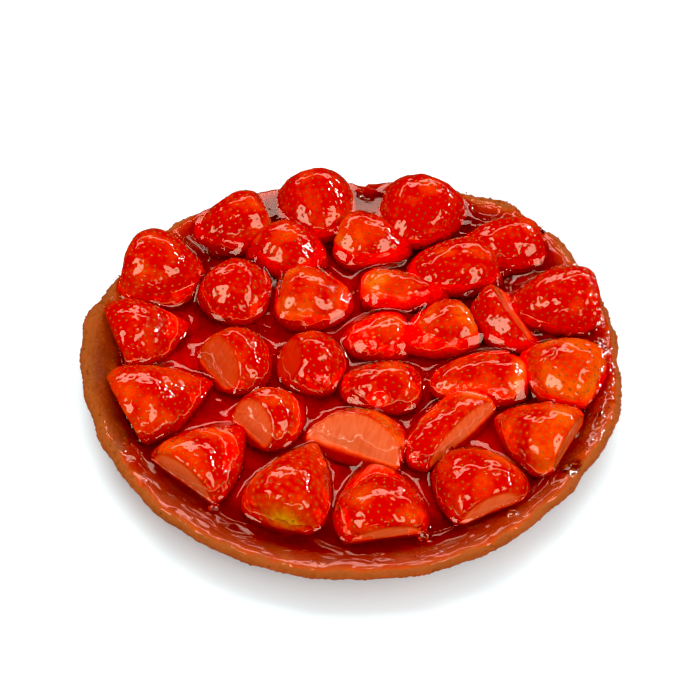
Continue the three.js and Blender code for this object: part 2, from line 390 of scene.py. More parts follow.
    def build(self) -> bpy.types.Object:
        """The shell as a fine turned surface.

        A rounded profile is carried round the axis; each ring is moved by the edge's swells,
        then pushed along its normal by crumb noise that is strongest at the lip, and pressed
        in at the splits and the hollow.

        Returns:
            The piece.
        """
        fine = [np.linspace(0, 360, self.sectors, endpoint=False)]
        for at, *_ in self.splits:
            fine.append((at + np.linspace(-2.2, 2.2, 23)) % 360)
        angle = np.unique(np.round(np.concatenate(fine), 4))
        keep = np.concatenate([[True], np.diff(angle) > 0.08])
        angle = angle[keep]
        inner, outer = self.rings(4)
        profile = np.concatenate([inner, outer[1:]])
        step = np.hypot(*np.diff(profile[:, :2], axis=0).T)
        place = np.concatenate([[0], np.cumsum(step)])
        lip = place[np.argmax(profile[:, 1])]
        outwards = self.steps_along(place[-1] - lip, 34, 1.045, 1.4)
        inwards = self.steps_along(lip, 26, 1.045, 1.6)
        track = np.concatenate([lip - inwards[::-1], lip + outwards[1:]])
        radius, height, share = (np.interp(track, place, profile[:, k]) for k in range(3))
        out, up = self.edge(angle)
        r = radius[:, None] + share[:, None] * out
        z = height[:, None] + share[:, None] * up
        turn = np.radians(angle)[None, :]
        cos, sin = np.cos(turn), np.sin(turn)
        points = np.stack([r * cos, r * sin, z], -1)
        tangent_r = np.gradient(radius, track)[:, None]
        tangent_z = np.gradient(height, track)[:, None]
        norm = np.hypot(tangent_r, tangent_z) + 1e-9
        normal_r, normal_z = -tangent_z / norm, tangent_r / norm
        near_lip = np.exp(-(((track - lip) / 3.2) ** 2))[:, None]
        on_rim = (smoothstep(94, 100, radius) * (height > 0.5))[:, None]
        wet = self.glazed(angle)[None, :] * (track < lip + 1.5)[:, None]
        coarse = waves(points, (5, 14), 24, SEED + 1)
        grain = waves(points, (1.3, 3.2), 40, SEED + 2)
        crumb = waves(points, (0.7, 1.5), 40, SEED + 3)
        pits = np.clip(waves(points, (1.2, 2.4), 30, SEED + 4) - 1.5, 0, 1.5)
        push = on_rim * (0.12 * coarse + (0.03 + 0.07 * (1 - wet)) * grain + 0.03 * crumb)
        push += near_lip * ((0.08 + 0.08 * (1 - wet)) * (grain + crumb) - 0.1)
        push -= on_rim * (1 - 0.8 * wet) * 0.35 * pits
        push *= (height > 0.05)[:, None]
        r = r + push * normal_r
        z = z + push * normal_z
        for at, start, end, wide, low in self.splits:
            gap = np.radians(np.abs(turned(angle - at))) * self.split_radius
            open_part = np.exp(-((gap / (wide * 0.5)) ** 6))[None, :]
            beyond = smoothstep(start - 0.8, start + 0.8, r)
            inside_wall = smoothstep(end + 0.8, end - 0.8, r)
            cut = open_part * beyond * inside_wall
            z = z - cut * np.clip(z - low, 0, None)
            if end > self.outside[0][0]:
                r = r - open_part * np.clip(r - (start + 1.2), 0, None)
        points = np.stack([r * cos, r * sin, z], -1)
        bowl = np.clip(self.bowl(points[..., 0], points[..., 1]), 0, 1)
        deep = self.hollow[-1]
        above = (points[..., 2] > 9) & (np.arange(len(track))[:, None] <= np.argmax(height))
        points[..., 2] -= above * deep * np.sqrt(bowl) * (1 + 0.15 * grain)
        edge_light = near_lip + np.zeros_like(z)
        within = smoothstep(1.4, -0.6, radius[:, None] - self.shore(angle)[None, :])
        mark = np.stack([edge_light, wet * within, bowl * above], -1)
        rows, columns = z.shape
        flat = points.reshape(-1, 3)
        middle_top = np.array([[0, 0, self.inside[0][1]]])
        middle_low = np.array([[0, 0, 0.0]])
        body = flat[columns:-columns]
        count = len(body)
        faces = np.concatenate([
            grid_faces(rows - 2, columns, True)[:, ::-1],
            fan_faces(count, np.arange(columns), False),
            fan_faces(count + 1, np.arange(count - columns, count), True),
        ])
        marks = np.concatenate([mark.reshape(-1, 3)[columns:-columns], np.zeros((2, 3))])
        points = np.concatenate([body, middle_top, middle_low])
        return make_piece("pastry_shell", points, faces, {"edge_mark": marks})


# ---------------------------------------------------------------- strawberries

UNCUT = 60.0
ROUND = 9
CRISP = 26


@dataclass
class Strawberry:
    """One strawberry half or quarter lying in the jelly.

    The tip lies towards the aim, degrees round and degrees up. Half holds the half width and
    half height, tip and hull the distances from the middle to both ends, and point and blunt
    the powers of the outline there. A slice or a flat is a plane's azimuth, tilt and distance;
    a slice is a knife cut, a flat a soft one. Rim_slope and rim_foot give the slope of the cut
    over the pastry's wall, and the radius and height of its foot.
    """

    number: int
    centre: tuple
    aim: tuple
    half: tuple
    tip: float
    hull: float
    point: float
    pale: float
    slices: tuple = ()
    flats: tuple = ()
    seed_dark: float = 0.3
    spot: tuple = ()
    redder_face: float = 0.0
    pits: float = 0.1
    floor: float = 6.4
    blunt: float = 0.28
    rim_slope: float = 31.0
    rim_foot: tuple = (96.0, 10.0)
    seed_step: float = 3.1
    seed_girth: float = 3.4
    axes: Array = field(init=False, repr=False)
    planes: list = field(init=False, repr=False)
    flat_planes: list = field(init=False, repr=False)
    scale: float = field(init=False, repr=False)
    table: tuple = field(init=False, repr=False)

    def __post_init__(self) -> None:
        """Works out the berry's axes, its cutting planes and the table of its outline."""
        long = heading_way(*self.aim)
        side = heading_way(self.aim[0] + 90, 0)
        self.axes = np.stack([long, side, np.cross(long, side)])
        middle = np.array(self.centre, float)
        planes = [(np.array([0, 0, -1.0]), middle[2] - self.floor)]
        planes += [(heading_way(around, tilt), far) for around, tilt, far in self.slices]
        self.flat_planes = [(heading_way(around, tilt), far) for around, tilt, far in self.flats]
        away = math.degrees(math.atan2(middle[1], middle[0]))
        rim = heading_way(away, self.rim_slope - 90)
        foot = self.rim_foot[0] * heading_way(away, 0) + (0, 0, self.rim_foot[1])
        planes.append((rim, max(float(rim @ (foot - middle)), 3.0)))
        self.planes = planes
        t = (1 - np.cos(np.linspace(0, math.pi, 240))) / 2
        peak = self.point / (self.point + self.blunt)
        with np.errstate(divide="ignore"):
            r = t**self.point * (1 - t) ** self.blunt
        r /= peak**self.point * (1 - peak) ** self.blunt
        length = self.tip / peak
        along = self.tip - t * length
        self.scale = length / 2
        self.table = (np.arctan2(r, along / self.scale), np.hypot(r, along / self.scale))

    def gauges(self, q: Array) -> tuple[Array, Array]:
        """How far out a place is, as a share of the way to the surface.

        The uncut berry is a turned outline: a place's distance from the middle, measured in
        half widths, half heights and half lengths, over the outline's distance at the same
        angle from the tip. Each cut is a plane: the place's distance along the plane's
        normal over the plane's distance. The whole is their soft largest, a p-norm, round
        for the hull end and crisp for the knife cuts.

        Args:
            q: n x 3 places from the berry's middle.

        Returns:
            The share for the cut berry and for the uncut one.
        """
        along, side, top = (q @ axis for axis in self.axes)
        across = np.hypot(side / self.half[0], top / self.half[1])
        along_share = along / self.scale
        angle = np.arctan2(across, along_share)
        skin = np.hypot(across, along_share) / np.interp(angle, *self.table)
        hull = np.clip(-along / self.hull, 0, None)
        soft = skin**ROUND + hull**ROUND
        for way, far in self.flat_planes:
            soft = soft + np.clip(q @ way / far, 0, None) ** ROUND
        soft = soft ** (1 / ROUND)
        if self.flat_planes:
            skin = soft
        total = soft**CRISP
        for way, far in self.planes:
            total = total + np.clip(q @ way / far, 0, None) ** CRISP
        return total ** (1 / CRISP), skin

    def swell(self, way: Array) -> Array:
        """Lumps of the fruit as a share of its radius, for unit directions."""
        seed = SEED + 50 * self.number
        return 0.014 * waves(way, (0.9, 2.4), 16, seed) + 0.006 * waves(way, (0.4, 0.9), 20, seed + 1)

    def outside(self, way: Array) -> Array:
        """The surface in given unit directions, n x 3 from the berry's middle."""
        total, _ = self.gauges(way)
        return way / total[:, None] * (1 + self.swell(way))[:, None]

    def seed_ways(self) -> Array:
        """Unit directions of the seeds.

        Rings of seeds stand seed_step apart along the outline; a ring holds its girth over
        seed_girth, and every other ring is turned by half a step. Seeds on a cut or deep in
        the jelly are left out.

        Returns:
            k x 3 directions.
        """
        draw = np.random.default_rng(SEED + 1000 + self.number)
        angle, far = self.table
        r = far * np.sin(angle) * (self.half[0] + self.half[1]) / 2
        along = far * np.cos(angle) * self.scale
        arc = np.concatenate([[0], np.cumsum(np.hypot(np.diff(r), np.diff(along)))])
        ways = []
        turn = draw.random()
        for k, place in enumerate(np.arange(1.8, arc[-1] - 3, self.seed_step)):
            ring_r = np.interp(place, arc, r)
            ring_a = np.interp(place, arc, along)
            count = max(int(round(2 * math.pi * ring_r / self.seed_girth)), 3)
            phi = (np.arange(count) + 0.5 * (k % 2) + turn) / count * 2 * math.pi
            phi += draw.normal(size=count) * 0.13 * self.seed_girth / max(ring_r, 2)
            shift = draw.normal(size=count) * 0.36
            share = ring_r * 2 / (self.half[0] + self.half[1])
            ways.append(
                (ring_a + shift)[:, None] * self.axes[0]
                + (np.cos(phi) * share * self.half[0])[:, None] * self.axes[1]
                + (np.sin(phi) * share * self.half[1])[:, None] * self.axes[2]
            )
        way = unit(np.concatenate(ways))
        total, skin = self.gauges(way)
        point = self.outside(way) + np.array(self.centre)
        keep = (skin / total > 0.955) & (point[:, 2] > 7.6)
        return way[keep]

    def frames(self, way: Array) -> tuple[Array, Array, Array, Array]:
        """Places and axes of the surface in given directions.

        The outward normal is the slope of the gauge, by differences of 0.02 mm.

        Args:
            way: k x 3 unit directions.

        Returns:
            Places, normals, tangents towards the tip, and tangents across.
        """
        place = self.outside(way)
        normal = np.empty_like(place)
        base, _ = self.gauges(place)
        for axis in range(3):
            moved = place.copy()
            moved[:, axis] += 0.02
            normal[:, axis] = self.gauges(moved)[0] - base
        normal = unit(normal)
        along = unit(self.axes[0] - (normal @ self.axes[0])[:, None] * normal)
        return place, normal, along, np.cross(normal, along)

    def build(self, rows: int = 112, columns: int = 152) -> bpy.types.Object:
        """The berry as one closed surface over its directions.

        The grid runs from the tip to the hull end and round the berry's long axis. The
        surface is lumps on the soft-cut outline, waves of the glaze over it, and a dimple
        exp(-d^2 / 2 s^2) at each seed.

        Args:
            rows: steps from tip to hull.
            columns: steps round.

        Returns:
            The piece.
        """
        theta, phi = ball_angles(rows, columns)
        local = np.stack([
            np.cos(theta) * self.scale,
            np.sin(theta) * np.cos(phi) * self.half[0],
            np.sin(theta) * np.sin(phi) * self.half[1],
        ], -1)
        local = np.concatenate([local, [[1, 0, 0], [-1, 0, 0]]])
        way = unit(local @ self.axes)
        place = self.outside(way)
        total, skin = self.gauges(way)
        shown = smoothstep(0.93, 0.99, skin / total)
        seed = SEED + 50 * self.number + 7
        glaze = 0.1 * waves(place, (4.5, 9), 20, seed) + 0.03 * waves(place, (2.6, 4.2), 30, seed + 1)
        glaze *= 0.45 + 0.55 * shown
        nests = self.outside(self.seed_ways())
        gap = ((place[:, None, :] - nests[None]) ** 2).sum(-1).min(1)
        dimple = np.exp(-gap / (2 * 0.66**2)) * shown
        place = place + way * (glaze - 0.13 * dimple)[:, None]
        depth = np.clip((1 - skin / total) * np.linalg.norm(place, axis=1), 0, 20)
        off_axis = np.hypot(place @ self.axes[1], place @ self.axes[2])
        hull_end = np.clip(-(place @ self.axes[0]) / max(min(self.hull, 16), 1), -1, 1)
        tone = self.pale + 0.16 * waves(place, (9, 26), 10, seed + 2)
        tone += 0.28 * (hull_end - 0.2) * (0.3 + self.pale)
        unripe = np.zeros(len(place))
        if self.spot:
            where = np.array(self.spot[:3]) - np.array(self.centre)
            off = np.linalg.norm(place - where, axis=1) / self.spot[3]
            unripe = np.exp(-(off**2)) * (1 + 0.25 * waves(place, (2, 6), 16, seed + 3))
        count = rows * columns
        faces = np.concatenate([
            grid_faces(rows, columns, True),
            fan_faces(count, np.arange(columns), False),
            fan_faces(count + 1, np.arange(count - columns, count), True),
        ])[:, ::-1]
        redder_face = np.full(len(place), self.redder_face)
        pits = np.full(len(place), self.pits)
        marks = {
            "skin_mark": np.stack([np.clip(tone, 0, 1), depth / 20, dimple], -1),
            "flesh_mark": np.stack([place @ self.axes[0] / 80 + 0.5, off_axis / 40, redder_face], -1),
            "spot_mark": np.stack([np.clip(unripe, 0, 1), pits], -1),
        }
        return make_piece(f"berry_{self.number:02d}", place + np.array(self.centre), faces, marks)


def berries() -> list[Strawberry]:
    """The thirty berries, from the back row to the front one.

    A row holds a berry's centre, aim, half, tip, hull, point, paleness and slices, how dark its
    seeds are, and its flats.
    """
    rows = (
        ((-16, 92, 14), (285, -12), (17.5, 18), 24, 15, 0.5, 0.08, (), 0.75),
        ((-46, 80, 14), (197, -11), (15, 16), 25, 12, 0.65, 0.02, (), 0.2),
        ((-85.5, 50, 16), (345, -5), (19, 18.5), 22, 13.5, 0.55, 0.16, (), 0.15),
        ((31, 87, 15), (240, -8), (19, 18), 24, 16, 0.5, -0.12, (), 0.7),
        ((69, 66, 14), (190, -5), (14, 14), 25, 14.5, 0.5, -0.1, (), 0.4),
        ((92, 31, 17), (185, -5), (16, 16), 26, 12, 0.6, -0.12, (), 0.5),
        ((-93, 14, 13), (22, -7), (17, 16), 28, UNCUT, 0.9, -0.12, ((200, -15, 4),), 0.1),
        ((90, -10, 16), (150, -6), (17, 14.5), 25, UNCUT, 0.65, 0.5, ((0, -4, 13),), 0.6),
        ((-29, 65, 11.5), (310, 0), (15.5, 15), 20, 13, 0.5, 0.08, (), 0.7),
        ((4, 70, 12), (340, 0), (15, 15), 23, 14, 0.6, 0.2, (), 0.5),
        ((47, 53, 12), (195, 0), (16, 15), 25, 15.5, 0.45, -0.06, (), 0.3),
        ((-50, 41, 12), (300, 0), (15, 16), 18, 12, 0.5, -0.12, (), 0.3),
        ((-21, 36, 12), (350, -4), (15.5, 15), 22, 14, 0.6, 0.38, (), 0.4),
        ((17, 40, 11), (352, 0), (11, 12), 24, 17, 0.5, 0.34, (), 0.4),
        ((64, 26, 13), (292, 0), (15, 16), 24, 19, 0.55, -0.1, ((20, 35, 5),), 0.5),
        ((-87, -23, 11.5), (26, -2), (19, 17), 34, UNCUT, 0.95, 0.32, ((205, -18, 4),), 0.3),
        ((-49, 3, 12), (295, 0), (15, 14), 19, 13, 0.5, 0.14, ((217, 33, 9.2),), 0.3),
        ((-18, 1, 12), (300, 0), (14, 14), 18, 13, 0.5, -0.08, ((198, 36, 10.4),), 0.3),
        ((14, 15, 10), (190, 0), (12, 11), 19, 15, 0.55, 0.16, (), 0.3),
        ((42, 19, 12), (202, 0), (14, 13), 24, 10, 0.75, 0.34, (), 0.4),
        ((15, -13, 11), (180, 0), (12, 12), 20, 19, 0.45, 0.08, (), 0.1),
        ((57, -9, 11), (185, 0), (13, 12), 26, 18, 0.5, 0.34, (), 0.4),
        ((-34, -28, 11), (290, 0), (14.5, 13.5), 17, 14, 0.5, 0.22, ((222, 33, 9.6),), 0.2),
        ((4, -42, 12), (157, 0), (17, 16), 25, 22, 0.37, 0.3, ((247, 40, 4),), 0.1, (
            (67, 50, 13.6), (109, 42, 15.4), (25, 42, 14.4), (133, 26, 18.6), (1, 26, 16.8),
        )),
        ((42.5, -32.5, 10), (225, 0), (14, 11), 28, 27, 0.45, 0.22, ((318, 18, 5.7),), 0.15),
        ((80, -42, 12), (150, 0), (17.5, 15), 26, UNCUT, 0.75, 0.38, ((332, -2, 5.5),), 0.3),
        ((-63, -56, 10), (51, 0), (18, 15), 32, UNCUT, 0.95, 0.24, ((230, 1, 5.7),), 0.4),
        ((-26, -73, 12), (70, 0), (17, 16), 33, 16, 0.9, 0.0, (), 0.4),
        ((11, -80, 11), (95, 0), (18, 14), 28, UNCUT, 0.7, 0.08, ((279, -12, 7.6),), 0.3),
        ((51, -67, 11), (130, 0), (18, 14), 23, UNCUT, 0.5, 0.1, ((295, 0, 9.4),), 0.2),
    )
    made = [
        Strawberry(k + 1, *row[:8], seed_dark=row[8], flats=row[9] if len(row) > 9 else ())
        for k, row in enumerate(rows)
    ]
    made[27].spot = (-26.6, -84.5, 14.0, 6.0)
    # Some berries' cut faces are given a darker, redder colour.
    for number, share in ((15, 0.4), (17, 0.55), (18, 0.9), (23, 0.25)):
        made[number - 1].redder_face = share
    for number in (8, 26, 28):
        made[number - 1].pits = 0.35
    return made


@dataclass
class Seeds:
    """The seeds of all the berries, as small drops lying along the skin."""

    long: float = 1.08
    wide: float = 0.64
    thick: float = 0.42

    def drop(self) -> tuple[Array, Array]:
        """One seed: an oval of 3 rings of 6 points and two ends, narrower towards its tip.

        Returns:
            Points and faces.
        """
        t, p = ball_angles(3, 6)
        x = np.cos(t)
        narrow = 1 - 0.28 * x
        ring = np.stack([
            x * self.long / 2,
            np.sin(t) * np.cos(p) * self.wide / 2 * narrow,
            np.sin(t) * np.sin(p) * self.thick / 2 * narrow,
        ], -1)
        ends = np.array([[self.long / 2, 0, 0], [-self.long / 2, 0, 0]])
        points = np.concatenate([ring, ends])
        faces = np.concatenate([
            grid_faces(3, 6, True),
            fan_faces(18, np.arange(6), True),
            fan_faces(19, np.arange(12, 18), False),
        ])
        return points, faces

    def build(self, fruit: list[Strawberry]) -> bpy.types.Object:
        """All the seeds as one piece, each turned with its long side towards the berry's tip.

        Args:
            fruit: the berries that carry them.

        Returns:
            The piece.
        """
        shape, faces = self.drop()
        points, marks = [], []
        draw = np.random.default_rng(SEED + 5000)
        for berry in fruit:
            place, normal, along, across = berry.frames(berry.seed_ways())
            count = len(place)
            size = (0.88 + 0.24 * draw.random(count))[:, None]
            twist = draw.normal(size=count) * 0.25
            cos, sin = np.cos(twist)[:, None], np.sin(twist)[:, None]
            first = along * cos + across * sin
            second = across * cos - along * sin
            base = place + np.array(berry.centre) - normal * 0.1
            points.append(laid(base, size, shape, (first, second, normal)).reshape(-1, 3))
            dark = np.clip(berry.seed_dark + 0.22 * draw.normal(size=count), 0, 1)
            dark = np.repeat(dark, len(shape))
            # The share of a seed's height, which its finish uses to paint shade at the foot.
            crown = np.tile(np.clip(shape[:, 2] / self.thick * 2, 0, 1), count)
            marks.append(np.stack([dark, np.repeat(draw.random(count), len(shape)), crown], -1))
        points = np.concatenate(points)
        count = len(points) // len(shape)
        LOG.info("seeds: %d", count)
        corners = copies(faces, count, len(shape))
        return make_piece("berry_seeds", points, corners, {"seed_mark": np.concatenate(marks)})


# ---------------------------------------------------------------- jelly


@dataclass
class Jelly:
    """The red jelly: a pool round the berries that climbs them a little, and a film over the rim.

    Merge is the size of its fillets and web how much larger they are at the back; sunk is how
    far the berries stand in it, reach its outer radius and climb the most that it rises. A
    step is a ring of set glaze on the rim, its radius and height. A web is a patch of jelly
    that stands higher than the pool: x, y, radius and height.
    """

    level: float = 12.0
    merge: float = 1.6
    web: float = 2.4
    sunk: float = 0.3
    reach: float = 107.8
    cells: int = 296
    climb: float = 8.0
    seat: float = 1.1
    under: tuple = (0.985, 0.965, 0.945, 0.92, 0.89, 0.865, 0.83, 0.5)
    steps: tuple = ((92.5, 13.1), (98.4, 15.1), (101.4, 16.8), (104.0, 17.6))
    webs: tuple = (
        (72, 46, 7, 15.6), (50, 78, 5, 17.0), (24, 60, 5, 15.0), (-66, 66, 6, 15.4), (8, 86, 4, 16.5),
        (-31, 80, 4, 17.0), (76, 8, 6, 15.8), (-34, 22, 4, 14.2), (30, 27, 4, 14.6), (-84, -4, 6, 14.5),
        (12, 100, 5, 18.5), (-62, 74, 4, 17.0),
    )

    def film(self, shell: PastryShell, x: Array, y: Array) -> Array:
        """Thickness of glaze over the pastry; below zero there is none.

        It grows with how wet the rim is, with slow waves, and stops at 0.24. Short waves and a
        roll along the shore lie on it; past the shore and in the broken hollow it thins out.

        Args:
            shell: the pastry.
            x: places.
            y: places.

        Returns:
            Millimetres.
        """
        angle = np.degrees(np.arctan2(y, x))
        wet = shell.glazed(angle)
        flat = np.stack([x, y], -1)
        radius = np.hypot(x, y)
        inward = radius - shell.edge(angle)[0]
        strip = np.stack([radius, np.radians(angle) * 46], -1)
        thick = -0.8 + 1.5 * wet + 0.22 * waves(flat, (9, 22), 22, SEED + 70)
        beyond = inward - shell.shore(angle)
        thick = np.minimum(thick - 1.3 * smoothstep(-0.2, 2.0, beyond), 0.24)
        line = beyond - 0.2 + 0.4 * waves(flat, (9, 20), 12, SEED + 73)
        roll = 0.13 * waves(strip, (3.4, 8), 24, SEED + 71)
        thick += wet * (roll + 0.2 * np.exp(-((line / 0.7) ** 2)))
        thick += wet * 0.03 * waves(flat, (2.4, 3.6), 30, SEED + 72)
        return thick - 1.2 * smoothstep(-0.7, 0.2, shell.bowl(x, y))

    def bank(self, shell: PastryShell, x: Array, y: Array) -> Array:
        """Height of the thick glaze that has set on the wet part of the rim in uneven steps.

        Each step starts at its own ring, bent by slow waves, and runs outwards at a slope of
        0.085 until the pastry rises through it; inside its start it falls steeply. Its height
        swells by slow waves too. The highest step counts, and short waves lie over all of them.

        Args:
            shell: the pastry.
            x: places.
            y: places.

        Returns:
            Heights.
        """
        angle = np.degrees(np.arctan2(y, x))
        out, up = shell.edge(angle)
        inward = np.hypot(x, y) - out
        strip = np.stack([np.hypot(x, y), np.radians(angle) * 40], -1)
        height = np.full_like(inward, -9.0)
        swell = 0.34 * waves(np.stack([x, y], -1), (9, 22), 24, SEED + 76)
        for k, (start, level) in enumerate(self.steps):
            far = inward - start - 1.3 * waves(strip, (7, 20), 16, SEED + 90 + k)
            step = level + 0.6 * up + swell + 0.085 * far - 1.5 * np.clip(-far, 0, None)
            height = np.maximum(height, step)
        height += 0.07 * waves(strip, (4.5, 11), 30, SEED + 74)
        height += 0.012 * waves(strip, (2.2, 3.6), 30, SEED + 75)
        height -= 3.0 * smoothstep(0.75, 0.35, shell.glazed(angle))
        return height - 2.5 * smoothstep(-1.2, 1.2, inward - shell.shore(angle))

    def top(self, shell: PastryShell, fruit: list[Strawberry], x: Array, y: Array) -> Array:
        """Height of the jelly's upper face.

        The bed is the soft highest of the pool with its webs, the bank and the film on the
        pastry. The face is where a soft smallest of distances is zero: height above the bed,
        and distance from each berry. The soft smallest of d_i is -m log(sum exp(-d_i / m)), so
        the surfaces join in fillets. The height is found by halving between two bounds.

        Args:
            shell: the pastry.
            fruit: the berries.
            x: places.
            y: places.

        Returns:
            Heights.
        """
        flat = np.stack([x, y], -1)
        ground = shell.top(x, y) + self.film(shell, x, y)
        pool = self.level + 0.16 * waves(flat, (10, 30), 16, SEED + 80)
        pool += 0.035 * waves(flat, (4, 9), 20, SEED + 81)
        for at_x, at_y, wide, high in self.webs:
            off = np.hypot(x - at_x, y - at_y) * (1 + 0.12 * waves(flat, (6, 14), 12, SEED + 82))
            sheet = high - 0.085 * (y - at_y) - 0.9 * np.clip(off - wide, 0, None)
            pool = soft_highest((pool, sheet), 0.8)
        bed = soft_highest((pool, self.bank(shell, x, y), ground), 0.4)
        low = np.full_like(x, 4.0)
        high = np.maximum(self.level + self.climb, bed + 2.0)
        merge = self.merge + self.web * smoothstep(-0.3, 0.6, (y + 0.4 * x) / 100)
        near = []
        for berry in fruit:
            size = max(berry.half) + 6
            reach = max(berry.tip, min(berry.hull, 20), size) + 7
            off = np.hypot(x - berry.centre[0], y - berry.centre[1])
            near.append(np.nonzero(off < reach)[0])
        for _ in range(15):
            mid = (low + high) / 2
            total = np.exp(-(mid - bed) / merge)
            for berry, some in zip(fruit, near):
                q = np.stack([x[some], y[some], mid[some]], -1) - np.array(berry.centre)
                share, skin = berry.gauges(q)
                far = np.linalg.norm(q, axis=1)
                cut = smoothstep(0.98, 0.88, skin / share)
                gap = far * (1 - 1 / np.maximum(share, 0.05)) + self.sunk + 0.9 * cut
                total[some] += np.exp(-np.clip(gap, -20, 20) * (1 + 1.5 * cut) / merge[some])
            inside = total > 1
            low = np.where(inside, mid, low)
            high = np.where(inside, high, mid)
        return (low + high) / 2

    def build(self, shell: PastryShell, fruit: list[Strawberry]) -> bpy.types.Object:
        """The jelly as one closed body.

        A square grid is laid over the disc by the concentric map, where a ring of the square
        becomes a ring of the disc, and lifted to the jelly's top. The underside follows the
        pastry just below its face.

        Args:
            shell: the pastry.
            fruit: the berries.

        Returns:
            The piece.
        """
        n = self.cells
        line = np.linspace(-1, 1, n + 1)
        a, b = (v.ravel() for v in np.meshgrid(line, line, indexing="ij"))
        wide = np.abs(a) >= np.abs(b)
        big = np.maximum(np.abs(a), np.abs(b))
        part = np.where(wide, b, a) / np.maximum(big, 1e-12) * math.pi / 4
        turn = np.where(
            wide,
            np.where(a >= 0, part, math.pi - part),
            np.where(b >= 0, math.pi / 2 - part, -math.pi / 2 + part),
        )
        out, _ = shell.edge(np.degrees(turn))
        radius = big * (self.reach + out * smoothstep(0.6, 1.0, big))
        x, y = radius * np.cos(turn), radius * np.sin(turn)
        z = self.top(shell, fruit, x, y)
        edge = big > 1 - 1.6 / n
        z = np.where(edge, np.minimum(z, shell.top(x, y) - 0.9), z)
        points = np.stack([x, y, z], -1)
        faces = grid_faces(n + 1, n + 1, False)[:, ::-1]
        index = np.arange((n + 1) ** 2).reshape(n + 1, n + 1)
        border = np.concatenate([index[0, :-1], index[:-1, -1], index[-1, :0:-1], index[:0:-1, 0]])
        rim = points[border]
        rings = []
        for share in self.under:
            flat = rim[:, :2] * share
            low = shell.top(flat[:, 0], flat[:, 1]) - self.seat
            rings.append(np.column_stack([flat, low]))
        start = len(points)
        size = len(border)
        points = np.concatenate([points, *rings, [[0, 0, 3.9]]])
        ring_ids = [border] + [start + size * k + np.arange(size) for k in range(len(rings))]
        lower = []
        for upper, under in zip(ring_ids[:-1], ring_ids[1:]):
            after_u, after_l = np.roll(upper, -1), np.roll(under, -1)
            lower.append(np.stack([after_l, after_u, upper], -1))
            lower.append(np.stack([under, after_l, upper], -1))
        lower.append(fan_faces(len(points) - 1, ring_ids[-1], True)[:, ::-1])
        return make_piece("jelly_pool", points, np.concatenate([faces, *lower]))


# ---------------------------------------------------------------- materials


